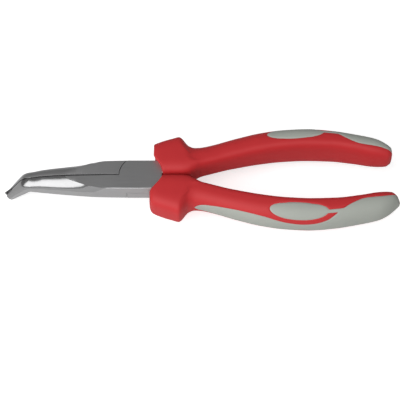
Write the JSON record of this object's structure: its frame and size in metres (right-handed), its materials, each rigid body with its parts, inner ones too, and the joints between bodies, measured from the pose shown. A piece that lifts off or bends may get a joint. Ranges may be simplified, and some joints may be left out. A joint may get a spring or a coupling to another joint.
{
  "type": "needle nose pliers",
  "caption": "Bent needle nose pliers with toothed tapering jaws, a riveted lap joint and flared two-tone grips.",
  "frame": {"origin": "on the pivot axis, at the flat back face of the joint", "axes": "+X from the pivot towards the handles' ends, +Y towards the upper handle, +Z along the pivot axis out of the front face; the jaws point to -X and their tips bend towards -Z"},
  "size_m": [0.1989, 0.0548, 0.0275],
  "materials": {
    "steel": "ground flats, polished jaw crowns",
    "rivet_steel": "ground flush with the joint",
    "red_grip": "satin moulded hard plastic",
    "soft_grey": "matte soft moulded insert"
  },
  "bodies": {
    "front": {"front_half_lower_jaw": "steel", "pivot_rivet": "rivet_steel", "upper_grip_sleeve": "red_grip", "upper_soft_insert": "soft_grey"},
    "back": {"back_half_upper_jaw": "steel", "lower_grip_sleeve": "red_grip", "lower_soft_insert": "soft_grey"}
  },
  "joints": [
    {"name": "pivot", "type": "hinge", "parent": "front", "child": "back", "pos_m": [0, 0, 0.00475], "axis": [0, 0, -1], "range_deg": [0, 35]}
  ]
}
